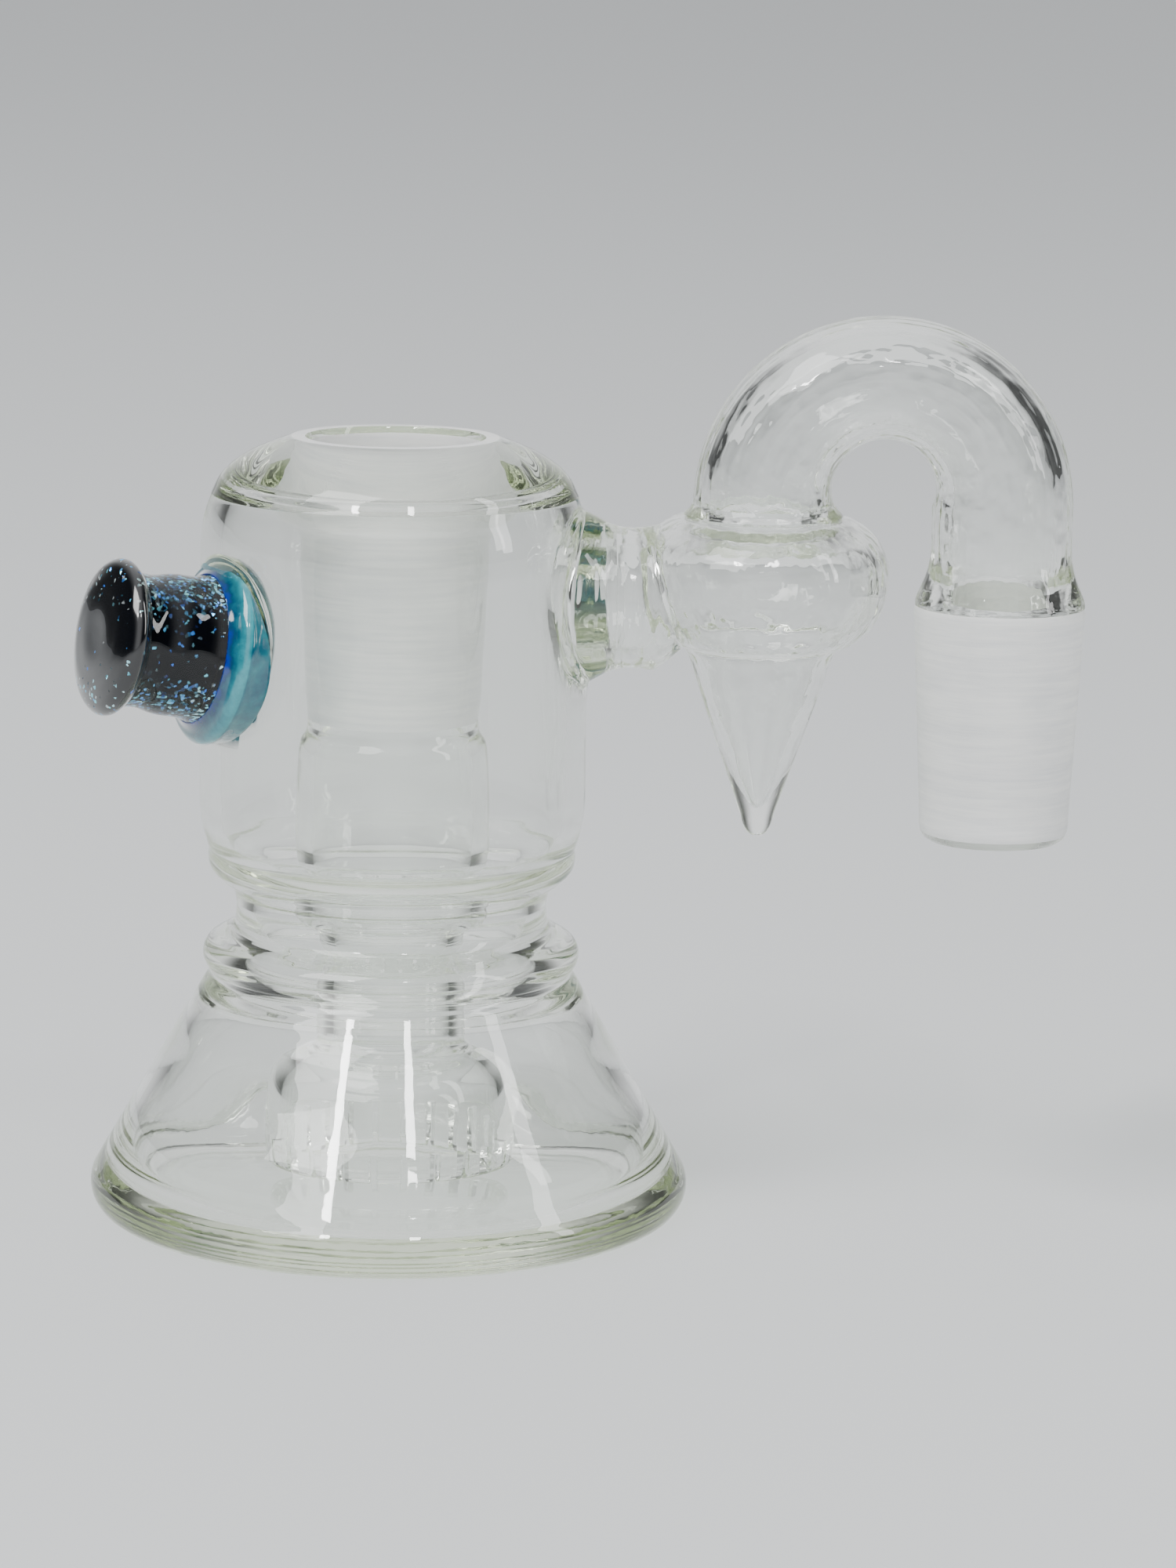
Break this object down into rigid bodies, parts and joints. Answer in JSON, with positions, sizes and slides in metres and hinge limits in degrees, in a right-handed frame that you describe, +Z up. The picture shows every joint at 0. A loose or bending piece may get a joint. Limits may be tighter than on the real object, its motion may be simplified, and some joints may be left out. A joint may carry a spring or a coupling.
{
  "type": "glass ash catcher",
  "caption": "Glass water-filled ash catcher with a flask base, a can holding a ground socket joint, and a gooseneck side arm ending in a ground plug joint.",
  "frame": {"origin": "centre of the floor's flat underside, on the axis of the flask, can and inlet joint", "axes": "+Z up along the can axis, +X along the side arm towards the outlet joint, -Y towards the side the knob leans to"},
  "size_m": [0.1103, 0.0662, 0.1],
  "materials": {
    "clear_glass": "clear, fire polished",
    "ground_glass": "finely ground, frosted",
    "teal_glass": "streaky coloured glass, fire polished",
    "sparkle_glass": "dark glass full of metallic flakes, fire polished"
  },
  "bodies": {
    "root": {"chamber_floor": "clear_glass", "base_rim": "clear_glass", "flask_wall": "clear_glass", "lower_maria": "clear_glass", "waist_neck": "clear_glass", "upper_maria": "clear_glass", "can_wall": "clear_glass", "can_crown": "clear_glass", "joint_weld_ring": "clear_glass", "inlet_joint": "ground_glass", "downtube_collar": "clear_glass", "downtube": "clear_glass", "diffuser_dome": "clear_glass", "diffuser_skirt": "clear_glass", "arm_weld_flare": "clear_glass", "side_arm": "clear_glass", "arm_bulb": "clear_glass", "drip_cone": "clear_glass", "gooseneck_weld": "clear_glass", "gooseneck": "clear_glass", "outlet_flare": "clear_glass", "outlet_joint": "ground_glass", "knob_weld_bump": "clear_glass", "knob_flange": "teal_glass", "knob_casing": "clear_glass", "knob_core": "sparkle_glass", "knob_head": "sparkle_glass"}
  },
  "joints": []
}
